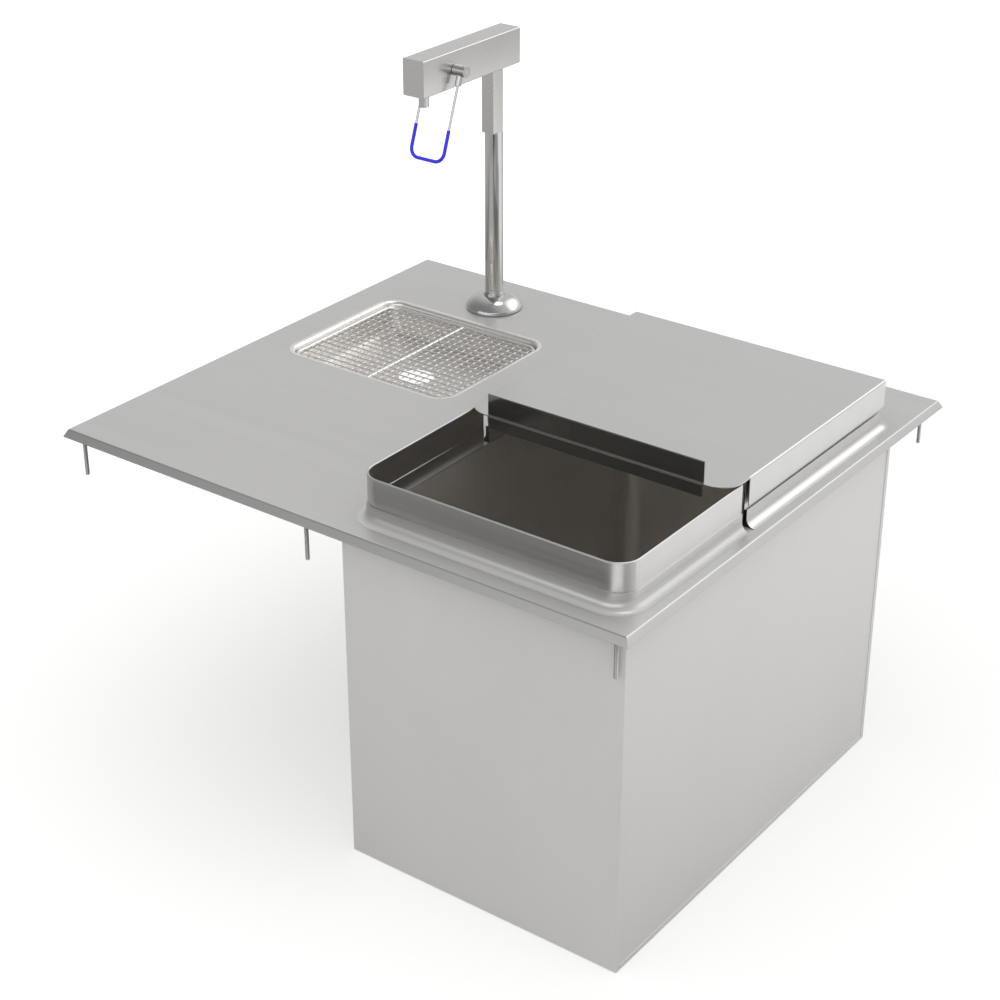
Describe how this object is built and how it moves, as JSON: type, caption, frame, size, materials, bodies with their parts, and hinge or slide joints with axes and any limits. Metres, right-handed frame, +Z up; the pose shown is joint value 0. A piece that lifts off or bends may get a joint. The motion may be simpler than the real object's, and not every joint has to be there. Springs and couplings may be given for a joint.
{
  "type": "drop-in ice bin",
  "caption": "Drop-in stainless water station: worktop with an insulated ice bin under a sliding lid, a drain pan with a wire grate, and a push-lever glass filler.",
  "frame": {"origin": "centre of the footprint, on the underside of the bin's jacket", "axes": "+X to the user's right, +Y to the back, +Z up"},
  "size_m": [0.772, 0.67, 0.7825],
  "materials": {
    "brushed_sheet": "brushed stainless sheet, fine grain",
    "jacket_sheet": "plain mill-finish stainless sheet",
    "liner_sheet": "satin stainless sheet",
    "pan_sheet": "polished stainless pan",
    "polished_wire": "electropolished wire",
    "polished_steel": "polished turned steel",
    "plain_steel": "plain drawn steel",
    "satin_steel": "satin square tube",
    "foam": "foamed-in-place insulation",
    "nylon": "smooth white nylon strip",
    "rubber": "black rubber ring",
    "blue_sleeve": "blue plastic sleeve",
    "brass": "plain turned brass"
  },
  "bodies": {
    "unit": {"worktop": "brushed_sheet", "worktop_channels": "jacket_sheet", "hold_down_studs": "plain_steel", "coaming_base": "brushed_sheet", "coaming_rim": "brushed_sheet", "rear_hood": "brushed_sheet", "bin_liner": "liner_sheet", "foam_insulation": "foam", "front_panel": "jacket_sheet", "rear_panel": "jacket_sheet", "left_panel": "jacket_sheet", "right_panel": "jacket_sheet", "bottom_panel": "jacket_sheet", "bin_drain_coupling": "brass", "drain_pan": "pan_sheet", "filler_gasket": "rubber", "filler_flange": "polished_steel", "filler_pillar": "polished_steel", "filler_neck": "satin_steel", "filler_head": "satin_steel", "head_end_plug": "satin_steel", "filler_nozzle": "polished_steel", "valve_block": "brass", "supply_shank": "brass", "backing_plate": "jacket_sheet", "shank_locknut": "brass"},
    "lid": {"lid_cover": "brushed_sheet", "lid_pull": "brushed_sheet", "lid_glides": "nylon"},
    "lever": {"lever_shaft": "plain_steel", "lever_cam": "plain_steel", "lever_hubs": "polished_steel", "push_lever": "plain_steel", "lever_sleeve": "blue_sleeve"},
    "stem": {"valve_stem": "plain_steel"},
    "grate": {"grate_border": "polished_wire", "grate_rod": "polished_wire", "grate_long_wires": "polished_wire", "grate_cross_wires": "polished_wire"},
    "strainer": {"bin_strainer": "liner_sheet"}
  },
  "joints": [
    {"name": "lid_slide", "type": "slide", "parent": "unit", "child": "lid", "axis": [0, -1, 0], "range_m": [0, 0.1856]},
    {"name": "lever_push", "type": "hinge", "parent": "unit", "child": "lever", "pos_m": [-0.208, 0.152, 0.76], "axis": [1, 0, 0], "range_deg": [0, 18], "stiffness_Nm_per_rad": 0.8, "springref_deg": -5.73},
    {"name": "stem_slide", "type": "slide", "parent": "unit", "child": "stem", "axis": [0, 1, 0], "range_m": [0, 0.0024]},
    {"name": "grate_lift", "type": "slide", "parent": "unit", "child": "grate", "axis": [0, 0, 1], "range_m": [0, 0.06]},
    {"name": "strainer_lift", "type": "slide", "parent": "unit", "child": "strainer", "axis": [0, 0, 1], "range_m": [0, 0.1]}
  ],
  "couplings": [
    {"joint": "stem_slide", "follows": "lever_push", "m_per_rad": 0.0075}
  ]
}
